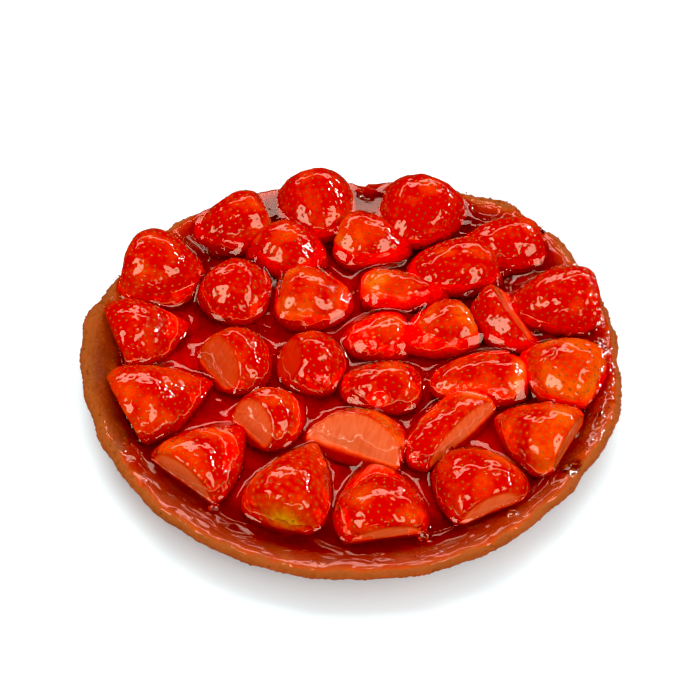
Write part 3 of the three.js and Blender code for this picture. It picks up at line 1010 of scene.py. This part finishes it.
class Sheet:
    """Builds a node tree: a node's inputs are given by name, as sockets or plain values."""

    def __init__(self, tree: bpy.types.NodeTree) -> None:
        """Keeps the tree."""
        self.tree = tree

    def node(self, kind: str, settings: dict[str, Any] | None = None, **inputs: Any) -> bpy.types.Node:
        """Adds a node.

        Args:
            kind: the node type without its ShaderNode start.
            settings: properties of the node.
            inputs: values or output sockets for its inputs; _ stands for a space.

        Returns:
            The node.
        """
        made = self.tree.nodes.new(kind if kind.startswith("Node") else "ShaderNode" + kind)
        for key, value in (settings or {}).items():
            setattr(made, key, value)
        self.put(made, **inputs)
        return made

    def put(self, made: bpy.types.Node, **inputs: Any) -> None:
        """Sets or links inputs of a node by name; _ stands for a space."""
        for key, value in inputs.items():
            self.feed(made, key.replace("_", " "), value)

    def feed(self, made: bpy.types.Node, name: str | int, value: Any) -> None:
        """Sets or links one input of a node."""
        socket = made.inputs[name]
        if isinstance(value, bpy.types.NodeSocket):
            self.tree.links.new(value, socket)
        else:
            socket.default_value = value

    def math(self, how: str, *values: Any, clamp: bool = False) -> bpy.types.NodeSocket:
        """A Math node over the given values; returns its value."""
        made = self.node("Math", {"operation": how, "use_clamp": clamp})
        for k, value in enumerate(values):
            self.feed(made, k, value)
        return made.outputs[0]

    def mix(self, share: Any, first: Any, second: Any, how: str = "MIX") -> bpy.types.NodeSocket:
        """A colour mix from first to second; returns its colour."""
        made = self.node("Mix", {"data_type": "RGBA", "blend_type": how})
        self.feed(made, 0, share)
        self.feed(made, 6, first)
        self.feed(made, 7, second)
        return made.outputs[2]

    def ramp(self, value: Any, *stops: tuple[float, Any]) -> bpy.types.NodeSocket:
        """A colour ramp over stops of place and colour; returns its colour."""
        made = self.node("ValToRGB", Fac=value)
        steps = made.color_ramp.elements
        while len(steps) < len(stops):
            steps.new(0.5)
        for step, (place, colour) in zip(steps, stops):
            step.position = place
            step.color = colour if isinstance(colour, tuple) else (colour, colour, colour, 1)
        return made.outputs[0]

    def span(
        self, value: Any, low: float, high: float, to_low: float = 0.0, to_high: float = 1.0
    ) -> bpy.types.NodeSocket:
        """A smooth Map Range; returns its value."""
        made = self.node(
            "MapRange", {"interpolation_type": "SMOOTHSTEP"},
            Value=value, From_Min=low, From_Max=high, To_Min=to_low, To_Max=to_high,
        )
        return made.outputs[0]

    def place(self) -> bpy.types.NodeSocket:
        """Object coordinates, in metres."""
        return self.node("TexCoord").outputs["Object"]

    def noise(self, scale: float, detail: float = 2.0, rough: float = 0.5) -> bpy.types.NodeSocket:
        """Noise on Object coordinates; returns its value."""
        made = self.node("TexNoise", Vector=self.place(), Scale=scale, Detail=detail, Roughness=rough)
        return made.outputs[0]

    def away(self, x: float = 0.0, y: float = 0.0) -> bpy.types.NodeSocket:
        """Level distance from the upright line through x and y, in metres; returns its value."""
        flat = self.node("VectorMath", {"operation": "MULTIPLY_ADD"})
        for k, value in enumerate((self.place(), (1.0, 1.0, 0.0), (-x, -y, 0.0))):
            self.feed(flat, k, value)
        far = self.node("VectorMath", {"operation": "LENGTH"})
        self.feed(far, 0, flat.outputs[0])
        return far.outputs["Value"]

    def join(self, output: bpy.types.Node, ray: str, usual: bpy.types.Node, other: bpy.types.Node) -> None:
        """Gives a material's surface one shader, and another one for one kind of ray."""
        path = self.node("LightPath")
        both = self.node("MixShader", Fac=path.outputs[ray])
        self.feed(both, 1, usual.outputs[0])
        self.feed(both, 2, other.outputs[0])
        self.put(output, Surface=both.outputs[0])

    def marks(self, name: str) -> list[bpy.types.NodeSocket]:
        """The three numbers of a piece's own attribute."""
        read = self.node("Attribute", {"attribute_name": name, "attribute_type": "GEOMETRY"})
        return list(self.node("SeparateColor", Color=read.outputs["Color"]).outputs)

    def group(self, tree: bpy.types.NodeTree, **inputs: Any) -> bpy.types.Node:
        """Places a node group."""
        made = self.node("Group")
        made.node_tree = tree
        self.put(made, **inputs)
        return made


def rgb(red: float, green: float, blue: float) -> tuple[float, float, float, float]:
    """A colour of the screen, 0 to 255, as a linear colour."""
    shares = [v / 255 for v in (red, green, blue)]
    line = [v / 12.92 if v < 0.0404 else ((v + 0.055) / 1.055) ** 2.4 for v in shares]
    return (*line, 1.0)


def new_material(name: str) -> tuple[bpy.types.Material, Sheet, bpy.types.Node, bpy.types.Node]:
    """A material with a Principled shader.

    Args:
        name: its name.

    Returns:
        The material, its sheet, the shader and the output.
    """
    material = bpy.data.materials.new(name)
    material.use_nodes = True
    sheet = Sheet(material.node_tree)
    shader = next(n for n in material.node_tree.nodes if n.type == "BSDF_PRINCIPLED")
    output = next(n for n in material.node_tree.nodes if n.type == "OUTPUT_MATERIAL")
    return material, sheet, shader, output


def ripple_group() -> bpy.types.NodeTree:
    """The unevenness of set glaze: two sizes of soft noise, as a height.

    Returns:
        A group with the inputs Size and Fine, and the output Height.
    """
    tree = bpy.data.node_groups.new("glaze_ripple", "ShaderNodeTree")
    for name, value in (("Size", 180.0), ("Fine", 0.3)):
        socket = tree.interface.new_socket(name, in_out="INPUT", socket_type="NodeSocketFloat")
        socket.default_value = value
    tree.interface.new_socket("Height", in_out="OUTPUT", socket_type="NodeSocketFloat")
    sheet = Sheet(tree)
    start = sheet.node("NodeGroupInput")
    end = sheet.node("NodeGroupOutput")
    place = sheet.place()
    size = start.outputs["Size"]
    broad = sheet.node("TexNoise", Vector=place, Scale=size, Detail=0.0)
    close = sheet.node("TexNoise", Vector=place, Scale=sheet.math("MULTIPLY", size, 2.6), Detail=0.0)
    height = sheet.math("MULTIPLY_ADD", close.outputs[0], start.outputs["Fine"], broad.outputs[0])
    sheet.tree.links.new(height, end.inputs[0])
    return tree


@dataclass(frozen=True)
class FruitFinish:
    """Red skin and paler cut flesh under clear glaze.

    Line is the height to which the thicker glaze climbs the skin; below it the skin is darkened
    as painted shade, and a pale painted highlight runs along it. Pool is the heights where painted
    shade begins to darken the fruit low in the jelly and where it is darkest, all in metres.
    """

    ripe: tuple = rgb(206, 4, 0)
    bright: tuple = rgb(232, 50, 3)
    pale: tuple = rgb(246, 112, 34)
    flesh_edge: tuple = rgb(236, 80, 36)
    flesh: tuple = rgb(250, 110, 60)
    core: tuple = rgb(252, 128, 80)
    unripe: tuple = rgb(232, 196, 6)
    # The next three colours are painted light, not the fruit's own: shade below the glaze line, shade low
    # in the jelly, and a pale highlight along the glaze line.
    sunk: tuple = rgb(182, 3, 0)
    painted_low_shade: tuple = rgb(140, 0, 0)
    painted_line_highlight: tuple = rgb(250, 160, 120)
    redder_face: tuple = rgb(214, 24, 6)
    pitted: tuple = rgb(244, 92, 22)
    line: float = 0.0156
    pool: tuple = (0.0125, 0.0095)

    def make(self, ripple: bpy.types.NodeTree) -> bpy.types.Material:
        """The material.

        Args:
            ripple: the shared unevenness of glaze.

        Returns:
            The material.
        """
        material, s, shader, _ = new_material("strawberry_fruit")
        tone, depth, dimple = s.marks("skin_mark")
        unripe, pits, _ = s.marks("spot_mark")
        streak = s.noise(160, 4, 0.6)
        blotch = s.noise(420, 3, 0.6)
        level = s.math("ADD", tone, s.span(streak, 0.3, 0.7, -0.14, 0.14))
        level = s.math("ADD", level, s.span(blotch, 0.3, 0.7, -0.07, 0.07))
        skin = s.ramp(level, (0.0, self.ripe), (0.4, self.bright), (0.95, self.pale))
        skin = s.mix(s.math("MULTIPLY", dimple, pits), skin, self.pitted)
        skin = s.mix(unripe, skin, self.unripe)
        height_up = s.node("SeparateXYZ", Vector=s.place()).outputs[2]
        line = s.math("ADD", self.line, s.span(s.noise(85, 3, 0.55), 0.25, 0.75, -0.0026, 0.0026))
        above = s.math("SUBTRACT", height_up, line)
        under_line = s.span(above, 0.0003, -0.0003)
        ridge = s.math("MULTIPLY", s.span(above, 0.0009, 0.0002), s.span(above, -0.0008, -0.0001))
        # Painted shade: the skin is darkened below the glaze line.
        skin = s.mix(s.math("MULTIPLY", under_line, 0.7), skin, self.sunk)
        # A painted highlight: a thin pale line along the glaze line, broken up by noise.
        painted_line_highlight = s.math("MULTIPLY", s.span(above, 0.0004, 0.0001), s.span(above, -0.0003, 0.0))
        painted_line_highlight = s.math("MULTIPLY", painted_line_highlight, s.span(s.noise(60, 2), 0.36, 0.6, 0.0, 0.6))
        along, off_axis, redder_face = s.marks("flesh_mark")
        along = s.math("MULTIPLY", along, 44.0)
        off_axis = s.math("MULTIPLY", off_axis, 9.0)
        grain = s.node("CombineXYZ", X=along, Y=off_axis).outputs[0]
        fibre = s.node("TexNoise", Vector=grain, Scale=1.0, Detail=3.0, Roughness=0.6).outputs[0]
        flesh_level = s.math("ADD", depth, s.span(fibre, 0.3, 0.7, -0.03, 0.03))
        flesh = s.ramp(
            flesh_level, (0.02, self.flesh_edge), (0.09, self.flesh), (0.34, self.core), (0.6, self.flesh)
        )
        flesh = s.mix(s.span(fibre, 0.36, 0.62, 0.34, 0.0), flesh, self.flesh_edge)
        # A darker, redder colour on the cut faces of some berries.
        flesh = s.mix(redder_face, flesh, self.redder_face)
        colour = s.mix(s.span(depth, 0.016, 0.07), skin, flesh)
        # Paints the pale highlight along the glaze line.
        colour = s.mix(painted_line_highlight, colour, self.painted_line_highlight)
        # Painted shade: the fruit darkens low in the jelly, towards the pastry.
        colour = s.mix(s.span(height_up, *self.pool, 0.0, 0.8), colour, self.painted_low_shade)
        s.put(shader, Base_Color=colour, Roughness=0.38, Specular_IOR_Level=0.0)
        s.put(shader, Coat_Weight=1.0, Coat_Roughness=0.02, Coat_IOR=1.42)
        height = s.group(ripple, Size=150.0, Fine=0.22).outputs[0]
        uneven = s.span(depth, 0.02, 0.08, 0.0006, 0.00022)
        height = s.math("MULTIPLY_ADD", height, uneven, s.math("MULTIPLY", ridge, 0.0002))
        height = s.math("MULTIPLY_ADD", under_line, 0.00012, height)
        bump = s.node("Bump", Height=height, Strength=1.0, Distance=1.0)
        under = s.node("Bump", Height=height, Strength=0.3, Distance=1.0)
        s.put(shader, Coat_Normal=bump.outputs[0], Normal=under.outputs[0])
        return material


@dataclass(frozen=True)
class SeedFinish:
    """Amber and brown seeds, with painted shade making them darker towards their foot."""

    light: tuple = rgb(214, 124, 8)
    dark: tuple = rgb(90, 54, 8)
    amber: tuple = rgb(186, 74, 8)
    # Painted shade at a seed's foot, where it sits in its pit.
    edge: tuple = rgb(84, 22, 2)

    def make(self) -> bpy.types.Material:
        """The material."""
        material, s, shader, _ = new_material("strawberry_seed")
        dark, chance, crown = s.marks("seed_mark")
        mottle = s.span(s.noise(1500, 2), 0.35, 0.65, -0.12, 0.12)
        level = s.math("ADD", dark, mottle, clamp=True)
        colour = s.mix(level, self.light, self.dark)
        colour = s.mix(s.span(chance, 0.45, 0.95, 0.0, 0.7), colour, self.amber)
        # Painted shade: each seed darkens towards its foot.
        colour = s.mix(s.span(crown, 0.75, 0.2, 0.0, 0.8), colour, self.edge)
        roughness = s.span(chance, 0.0, 1.0, 0.3, 0.5)
        s.put(shader, Base_Color=colour, Roughness=roughness, Specular_IOR_Level=0.25)
        return material


@dataclass(frozen=True)
class PastryFinish:
    """Baked pastry: matt and mealy where dry, darker and shiny under glaze, pale on the lip.

    The bed is the floor under the jelly: the middle and the outer and inner edge of its paler
    ring, and the heights between which it begins, in metres.
    """

    dry: tuple = rgb(160, 58, 22)
    dark: tuple = rgb(126, 40, 12)
    glazed: tuple = rgb(114, 36, 10)
    lip: tuple = rgb(176, 88, 26)
    bed: tuple = rgb(222, 150, 104)
    bed_dark: tuple = rgb(172, 92, 58)
    meal_dark: tuple = rgb(150, 60, 20)
    meal_light: tuple = rgb(222, 140, 74)
    speck: tuple = rgb(70, 26, 10)
    broken: tuple = rgb(92, 38, 14)
    bed_middle: tuple = (0.004, 0.009)
    bed_edge: tuple = (0.092, 0.081)
    bed_rise: tuple = (0.0042, 0.0048)

    def make(self) -> bpy.types.Material:
        """The material."""
        material, s, shader, _ = new_material("baked_pastry")
        edge, glazed, hollow = s.marks("edge_mark")
        broad = s.noise(70, 3, 0.55)
        meal = s.noise(900, 4, 0.7)
        specks = s.noise(520, 2, 0.5)
        base = s.mix(s.span(broad, 0.35, 0.65), self.dry, self.dark)
        base = s.mix(s.math("MULTIPLY", glazed, 0.8), base, self.glazed)
        base = s.mix(s.span(meal, 0.3, 0.7, 0.0, 0.35), base, self.meal_dark)
        base = s.mix(s.span(meal, 0.56, 0.7, 0.0, 0.3), base, self.meal_light)
        base = s.mix(s.math("MULTIPLY", edge, 0.75), base, self.lip)
        base = s.mix(s.span(specks, 0.7, 0.76, 0.0, 0.8), base, self.speck)
        base = s.mix(s.math("MULTIPLY", hollow, 0.75), base, self.broken)
        high = s.node("SeparateXYZ", Vector=s.place()).outputs[2]
        inside = s.span(s.away(*self.bed_middle), *self.bed_edge)
        bed = s.math("MULTIPLY", inside, s.span(high, *self.bed_rise))
        base = s.mix(bed, base, s.mix(s.span(broad, 0.35, 0.65), self.bed, self.bed_dark))
        roughness = s.span(glazed, 0.0, 1.0, 0.82, 0.5)
        s.put(shader, Base_Color=base, Roughness=roughness, Specular_IOR_Level=0.2)
        bump = s.node("Bump", Height=s.noise(1300, 4, 0.65), Strength=0.6, Distance=0.0005)
        s.put(shader, Normal=bump.outputs[0])
        return material


@dataclass(frozen=True)
class JellyFinish:
    """Clear red jelly: light is lost with depth, green and blue within a few millimetres."""

    name: str = "strawberry_jelly"
    tint: tuple = (1.0, 0.92, 0.88, 1.0)
    bend: float = 1.38
    loss: float = 480.0
    spared: tuple = (0.965, 0.1, 0.0, 1.0)
    fleck: tuple = (1.0, 0.88, 0.84, 1.0)
    shade: tuple = (1.0, 0.97, 0.96, 1.0)

    def make(self, ripple: bpy.types.NodeTree) -> bpy.types.Material:
        """The material.

        Args:
            ripple: the shared unevenness of glaze.

        Returns:
            The material.
        """
        material, s, shader, output = new_material(self.name)
        fleck = s.span(s.noise(600, 2), 0.3, 0.7)
        s.put(shader, Base_Color=s.mix(fleck, self.tint, self.fleck), Roughness=0.0)
        s.put(shader, IOR=self.bend, Transmission_Weight=1.0)
        height = s.group(ripple, Size=200.0, Fine=0.3).outputs[0]
        bump = s.node("Bump", Height=height, Strength=0.08, Distance=0.0005)
        s.put(shader, Normal=bump.outputs[0])
        s.join(output, "Is Shadow Ray", shader, s.node("BsdfTransparent", Color=self.shade))
        lost = s.node("VolumeAbsorption", Color=self.spared, Density=self.loss)
        s.put(output, Volume=lost.outputs[0])
        return material


# ---------------------------------------------------------------- studio


WHITE = (1.0, 1.0, 1.0)
WARM = (1.0, 0.94, 0.68)
ROSY = (1.0, 0.72, 0.6)


@dataclass
class Studio:
    """Pale floor, soft lights and the camera.

    A light is its name, degrees round from +X, degrees above the floor, metres from the tart,
    width and height in metres, brightness and colour. The gloss lights make highlights alone,
    the plain lights everything but highlights.
    """

    target: tuple = (-1.0, 6.0, 15.0)
    rise: float = 47.48
    away: float = 850.0
    lens: float = 106.43
    gloss_lights: tuple = (
        ("left_board", 209, 34, 1.3, (0.6, 0.8), 9.5, WARM),
        ("right_board", 326, 38, 1.3, (0.55, 0.7), 8.5, WARM),
        ("front_band", 270, 24, 1.3, (0.7, 0.14), 7.0, WARM),
        ("back_band", 92, 36.5, 1.5, (2.2, 0.3), 7.5, ROSY),
        ("spark_high", 30, 34, 1.3, (0.09, 0.12), 130, WHITE),
        ("spark_low", 44, 26, 1.3, (0.06, 0.09), 130, WHITE),
        ("spark_side", 17, 29, 1.3, (0.05, 0.09), 130, WHITE),
    )
    plain_lights: tuple = (
        ("key", 92, 64, 1.4, (1.5, 1.1), 3.6, WHITE),
        ("fill", 300, 30, 1.6, (1.5, 0.8), 3.4, WHITE),
        ("left_fill", 222, 14, 1.6, (1.0, 0.5), 3.2, WHITE),
    )

    def soft_light(
        self, name: str, around: float, rise: float, far: float, size: tuple[float, float],
        glow: float, tint: tuple, gloss: bool,
    ) -> None:
        """A rectangular light that faces the tart.

        Args:
            name: its name.
            around: degrees round from +X.
            rise: degrees above the floor.
            far: metres from the tart.
            size: width and height in metres.
            glow: brightness of its face.
            tint: its colour.
            gloss: whether it makes highlights, or else plain light.
        """
        lamp = bpy.data.lights.new(name, "AREA")
        lamp.shape = "RECTANGLE"
        lamp.size, lamp.size_y = size
        lamp.energy = glow * math.pi * size[0] * size[1]
        lamp.color = tint
        way = Vector(heading_way(around, rise).tolist())
        holder = bpy.data.objects.new(name, lamp)
        middle = Vector(((MIDDLE + np.array(self.target)) * MM).tolist())
        holder.location = middle + way * far
        holder.rotation_euler = way.to_track_quat("Z", "Y").to_euler()
        holder.visible_glossy = gloss
        holder.visible_diffuse = not gloss
        bpy.context.scene.collection.objects.link(holder)

    def floor(self) -> bpy.types.Object:
        """The wide pale floor, which glows a little; the glow fades near the tart as a painted shadow round
        its foot.

        Returns:
            The piece.
        """
        line = np.linspace(-4000, 4000, 9)
        x, y = np.meshgrid(line, line, indexing="ij")
        points = np.stack([x, y, np.full_like(x, -0.05)], -1).reshape(-1, 3)
        floor = make_piece("studio_floor", points, grid_faces(9, 9, False)[:, ::-1])
        material, s, shader, output = new_material("studio_white")
        shade = s.mix(s.noise(3, 2), (0.8, 0.94, 0.95, 1), (0.82, 0.96, 0.97, 1))
        # Painted shadow: the floor's glow falls off towards the tart.
        glow = s.span(s.away(), 0.086, 0.116, 0.02, 0.38)
        s.put(shader, Base_Color=shade, Roughness=0.9, Specular_IOR_Level=0.0)
        s.put(shader, Emission_Color=(1, 1, 1, 1), Emission_Strength=glow)
        s.join(output, "Is Glossy Ray", shader, s.node("Emission", Color=(0.05, 0.045, 0.04, 1)))
        floor.data.materials.append(material)
        return floor

    def camera(self) -> None:
        """The camera, looking down at the tart from the front."""
        lens = bpy.data.cameras.new("camera")
        lens.lens = self.lens
        lens.sensor_width = 36
        lens.clip_start, lens.clip_end = 0.05, 20
        holder = bpy.data.objects.new("camera", lens)
        rise = math.radians(self.rise)
        back = np.array([0, -math.cos(rise), math.sin(rise)]) * self.away
        holder.location = ((MIDDLE + np.array(self.target) + back) * MM).tolist()
        holder.rotation_euler = (math.pi / 2 - rise, 0, 0)
        bpy.context.scene.collection.objects.link(holder)
        bpy.context.scene.camera = holder

    def world(self) -> None:
        """A dim surround, pale where the camera sees it."""
        world = bpy.data.worlds.new("studio_world")
        world.use_nodes = True
        bpy.context.scene.world = world
        s = Sheet(world.node_tree)
        back = next(n for n in world.node_tree.nodes if n.type == "BACKGROUND")
        path = s.node("LightPath")
        fill = s.mix(path.outputs["Is Glossy Ray"], (0.28, 0.28, 0.29, 1), (0.025, 0.022, 0.02, 1))
        s.put(back, Color=s.mix(path.outputs["Is Camera Ray"], fill, (1, 1, 1, 1)), Strength=1.0)

    def set_up(self) -> None:
        """Makes all of it."""
        self.floor()
        self.camera()
        self.world()
        for row in self.gloss_lights:
            self.soft_light(*row, gloss=True)
        for row in self.plain_lights:
            self.soft_light(*row, gloss=False)
        view = bpy.context.scene.view_settings
        view.view_transform = "Standard"
        view.look = "None"
        view.use_curve_mapping = True
        view.curve_mapping.black_level = (0.0, 0.006, 0.01)


# ---------------------------------------------------------------- drops and crumbs


@dataclass
class GlazeDrops:
    """Round drops of glaze on the berries and the jelly, and small glints along the rim.

    A big drop is x, y, half width and height. A facing is the direction and the lean from
    upright that a glint's face may have. A strewn row is a middle angle, its spread, inner and
    outer radius and how many glints.
    """

    big: tuple = (
        (10.6, -22.5, 4.8, 3.7), (38.4, -46.7, 2.5, 2.4), (27.5, -88.4, 2.6, 2.6), (-53.5, -74.3, 2.5, 2.8),
        (-12.4, -57.0, 2.8, 1.4), (24.5, -50.5, 2.4, 1.2), (61.5, -80.5, 2.4, 2.2),
    )
    facings: tuple = ((-20, 24.0), (0.5, 21.7), (-28, 31.9))
    strewn: tuple = (
        (8, 6, 100, 105, 22), (-4, 6, 100, 106, 26), (-16, 5, 102, 106.5, 14), (-30, 6, 103, 106.5, 8),
        (-75, 25, 103, 106, 8), (-135, 20, 101, 105, 8), (24, 8, 100, 105, 8),
    )
    jitter: float = 0.018
    push: float = 0.02
    lift: float = 0.25

    def domes(self, rows: int = 12, columns: int = 24) -> tuple[Array, Array]:
        """A ball of radius 1: its points and faces."""
        t, p = ball_angles(rows, columns)
        ring = np.stack([np.sin(t) * np.cos(p), np.sin(t) * np.sin(p), np.cos(t)], -1)
        count = rows * columns
        faces = np.concatenate([
            grid_faces(rows, columns, True)[:, ::-1],
            fan_faces(count, np.arange(columns), False),
            fan_faces(count + 1, np.arange(count - columns, count), True),
        ])
        return np.concatenate([ring, [[0, 0, 1.0], [0, 0, -1.0]]]), faces

    def build(self, jelly: Jelly, shell: PastryShell, fruit: list[Strawberry]) -> bpy.types.Object:
        """All the drops as one piece.

        A big drop is a ball flattened to its height, laid along the slope and a little uneven.
        A glint is a flat pad with a squarer section that leans to one of the facings.

        Args:
            jelly: the jelly, with its climb raised so that its top follows the berries.
            shell: the pastry.
            fruit: the berries.

        Returns:
            The piece.
        """
        draw = np.random.default_rng(SEED + 6000)
        spots = [list(row) for row in self.big]
        for at, spread, near, far, count in self.strewn:
            turn = np.radians(at + spread * draw.uniform(-1, 1, count))
            radius = draw.uniform(near, far, count)
            size = draw.uniform(0.35, 1.0, count)
            spots += np.stack([radius * np.cos(turn), radius * np.sin(turn), size, size * 0.4], -1).tolist()
        x, y, size, high = np.array(spots).T
        step = 0.25
        z = jelly.top(shell, fruit, x, y)
        slope_x = (jelly.top(shell, fruit, x + step, y) - z) / step
        slope_y = (jelly.top(shell, fruit, x, y + step) - z) / step
        normal = unit(np.stack([-slope_x, -slope_y, np.ones_like(z)], -1))
        facing = np.array([heading_way(around, 90 - lean) for around, lean in self.facings])
        facing = facing[draw.integers(0, len(facing), len(x))]
        facing += self.jitter * draw.normal(size=facing.shape)
        glint = (np.arange(len(x)) >= len(self.big))[:, None]
        normal = unit(np.where(glint, facing, normal))
        first = unit(np.cross(normal, [0.0, 1.0, 0.0]))
        second = np.cross(normal, first)
        ball, faces = self.domes()
        squared = ball / (np.hypot(ball[:, 0], ball[:, 1]) ** 4 + ball[:, 2] ** 4)[:, None] ** 0.25
        ball = np.where(glint[..., None], squared, ball)
        base = np.stack([x, y, z], -1) + self.lift * normal
        body = laid(base, np.stack([size, size * 0.8, high], -1), ball, (first, second, normal))
        size = size[:, None]
        push = self.push * size * waves(body / size[..., None], (1.2, 2.5), 12, SEED + 6001)
        body += np.where(glint, 0, push)[..., None] * ball
        numbers = copies(faces, len(x), ball.shape[1])
        return make_piece("glaze_drops", body.reshape(-1, 3), numbers)


@dataclass
class Crumbs:
    """Crumbs and broken flakes of pastry along the lip, and the flakes that stand in the hollow.

    A heap is its middle angle and spread, radius, number of crumbs and size. A flake is its
    radius, how far it lies to the side, its three half lengths, how far it is raised and the
    direction of its long side. Past is how far crumbs may lie from the axis, and foot the
    share of a crumb's thickness that it stands up.
    """

    heaps: tuple = (
        (45, 22, 108.0, 90, 0.8), (180, 40, 107.5, 110, 0.65), (0, 30, 107.8, 70, 0.6),
        (270, 60, 108.6, 130, 0.5), (326, 6, 104.5, 16, 0.6), (130, 30, 108, 30, 0.6),
    )
    flakes: tuple = (
        (100.6, -1.6, 2.3, 1.1, 0.35, -0.4, 0.3, 0.25, 0.9),
        (102.8, 1.6, 2.0, 0.5, 0.3, -0.6, 0.5, -0.3, 0.6),
        (103.9, -2.2, 1.8, 0.5, 0.3, -0.3, 0.8, 0.4, 0.3),
    )
    past: float = 109.6
    foot: float = 0.3

    def build(self, shell: PastryShell) -> bpy.types.Object:
        """The crumbs as one piece.

        A crumb is a ball of 4 rings of 7 points, stretched by three drawn lengths, turned by a
        drawn rotation, with each corner pushed in or out.

        Args:
            shell: the pastry they lie on.

        Returns:
            The piece.
        """
        draw = np.random.default_rng(SEED + 7000)
        ball, faces = GlazeDrops().domes(4, 7)
        places, sizes = [], []
        for at, spread, radius, count, scale in self.heaps:
            angle = at + spread * draw.uniform(-1, 1, count)
            out, _ = shell.edge(angle)
            far = radius + out + draw.normal(size=count) * 1.1
            far = np.minimum(far, self.past + out)
            turn = np.radians(angle)
            places.append(np.stack([far * np.cos(turn), far * np.sin(turn)], -1))
            long = scale * draw.uniform(0.25, 0.95, count)
            sizes.append(long[:, None] * draw.uniform((1, 0.5, 0.18), (1.01, 0.9, 0.4), (count, 3)))
        flat, size = np.concatenate(places), np.concatenate(sizes)
        way = math.radians(shell.hollow[0])
        flakes = np.array(self.flakes)
        cos, sin = math.cos(way), math.sin(way)
        flat = np.concatenate([flat, flakes[:, :2] @ np.array([[cos, sin], [-sin, cos]])])
        size = np.concatenate([size, flakes[:, 2:5]])
        z = shell.top(flat[:, 0], flat[:, 1]) + size[:, 2] * self.foot
        z[-len(flakes):] += flakes[:, 5]
        spin = draw.normal(size=(len(flat), 3, 3)) * np.array([1, 1, 0.35])[:, None]
        first = spin[:, 0] * [1, 1, 0.25]
        first[-len(flakes):] = flakes[:, 6:]
        first = unit(first)
        second = unit(np.cross(spin[:, 2] * [0.3, 0.3, 3.0], first))
        third = np.cross(first, second)
        ragged = 1 + 0.12 * draw.normal(size=(len(flat), len(ball), 1))
        body = laid(np.column_stack([flat, z]), size, ragged * ball, (first, second, third))
        numbers = copies(faces, len(flat), len(ball))
        marks = np.zeros((len(flat) * len(ball), 3))
        marks[:, 0] = np.repeat(draw.uniform(0.6, 1.3, len(flat)), len(ball))
        return make_piece("pastry_crumbs", body.reshape(-1, 3), numbers, {"edge_mark": marks})


# ---------------------------------------------------------------- the tart


class Slot(Enum):
    """The record's material slots."""

    PASTRY = "pastry"
    FRUIT = "strawberry"
    SEED = "strawberry_seed"
    JELLY = "jelly"


def finish_piece(
    piece: bpy.types.Object, material: bpy.types.Material, slot: Slot, *nodes: str
) -> None:
    """Dresses a piece, makes it ride, and hides the nodes that it stands for.

    Args:
        piece: the new piece.
        material: its finish.
        slot: not used.
        nodes: the nodes that it replaces.
    """
    piece.data.materials.append(material)
    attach(piece, "root")
    if nodes:
        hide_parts(*nodes)
    LOG.info("%s: %d triangles", piece.name, len(piece.data.polygons))


def main() -> None:
    """Builds the tart and its studio."""
    logging.basicConfig(level=logging.INFO, format="%(name)s: %(message)s")
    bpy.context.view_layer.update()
    Studio().set_up()
    ripple = ripple_group()
    fruit_finish = FruitFinish().make(ripple)
    pastry = PastryFinish().make()
    shell = PastryShell()
    finish_piece(shell.build(), pastry, Slot.PASTRY, "crust")
    finish_piece(Crumbs().build(shell), pastry, Slot.PASTRY)
    fruit = berries()
    for berry in fruit:
        finish_piece(berry.build(), fruit_finish, Slot.FRUIT, f"strawberry_{berry.number:02d}")
    finish_piece(Seeds().build(fruit), SeedFinish().make(), Slot.SEED)
    clear = JellyFinish().make(ripple)
    finish_piece(Jelly().build(shell, fruit), clear, Slot.JELLY, "jelly")
    drop = JellyFinish("glaze_drop", tint=(1.0, 0.97, 0.95, 1.0), bend=1.6, loss=90.0).make(ripple)
    finish_piece(GlazeDrops().build(Jelly(climb=26.0), shell, fruit), drop, Slot.JELLY)


if __name__ == "__main__":
    main()
